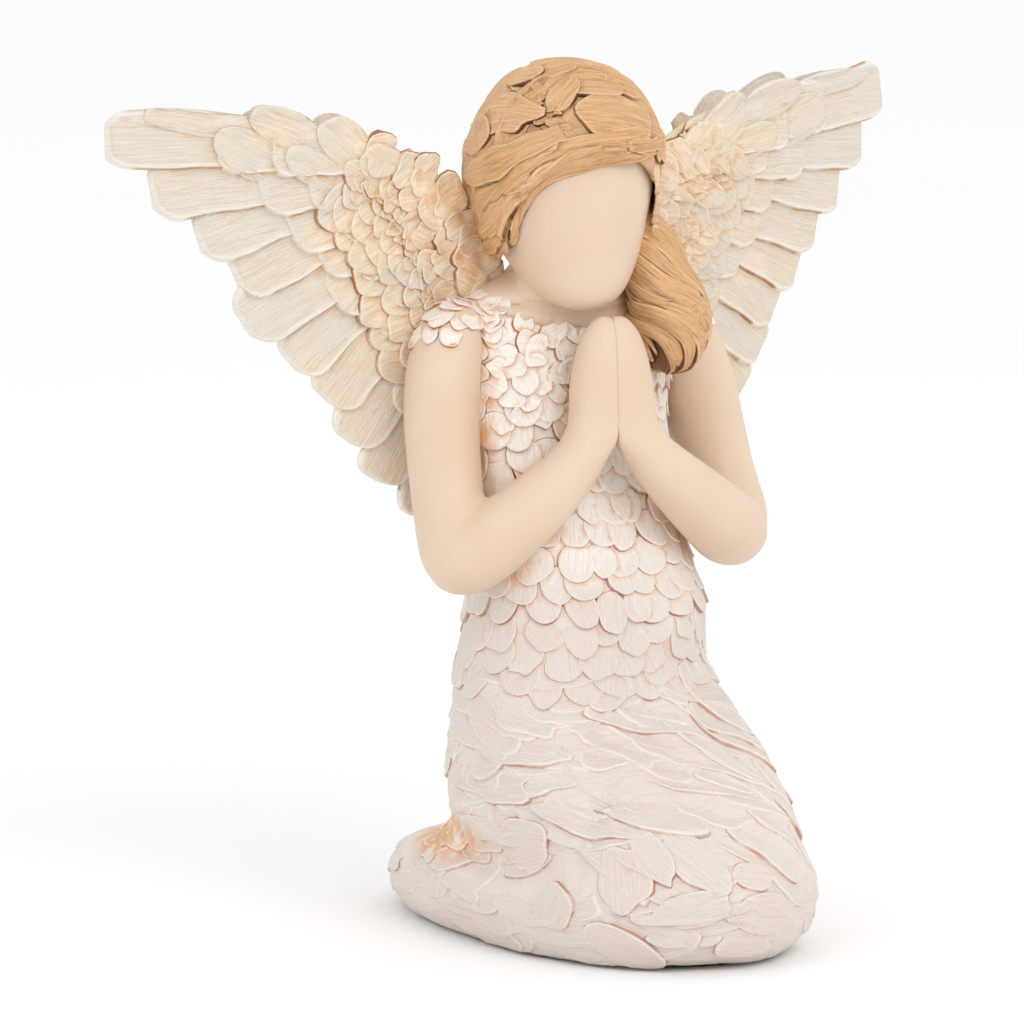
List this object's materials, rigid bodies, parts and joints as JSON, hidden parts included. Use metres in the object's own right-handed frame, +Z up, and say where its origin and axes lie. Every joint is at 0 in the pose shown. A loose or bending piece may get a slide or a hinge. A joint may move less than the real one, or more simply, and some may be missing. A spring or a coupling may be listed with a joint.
{
  "type": "resin angel figurine",
  "caption": "Faceless kneeling angel figurine in painted resin, hands joined in prayer, feathered wings raised, swept hair with a side ponytail.",
  "frame": {"origin": "on the felt pad's lower face, where the figurine rests, under the middle of the torso's width", "axes": "+Z up, the figure looks along -Y, +X is the figure's own left"},
  "size_m": [0.1766, 0.1097, 0.163],
  "materials": {
    "dress_resin": "matte to satin hand-painted cold-cast resin, off-white with a pink and ochre wash",
    "skin_resin": "smooth satin painted resin, plain pale peach",
    "hair_resin": "matte to satin hand-painted cold-cast resin, tan brown with darker crevices",
    "wing_resin": "matte to satin hand-painted cold-cast resin, cream with an ochre wash at the root",
    "pin_steel": "plain cut steel rod",
    "felt": "dark green wool felt"
  },
  "bodies": {
    "root": {"dress_body": "dress_resin", "head": "skin_resin", "hair_crown": "hair_resin", "side_ponytail": "hair_resin", "right_arm": "skin_resin", "left_arm": "skin_resin", "right_wing": "wing_resin", "left_wing": "wing_resin", "neck_dowel": "pin_steel", "right_shoulder_dowel": "pin_steel", "left_shoulder_dowel": "pin_steel", "palm_pin": "pin_steel", "ponytail_pin": "pin_steel", "felt_pad": "felt"}
  },
  "joints": []
}
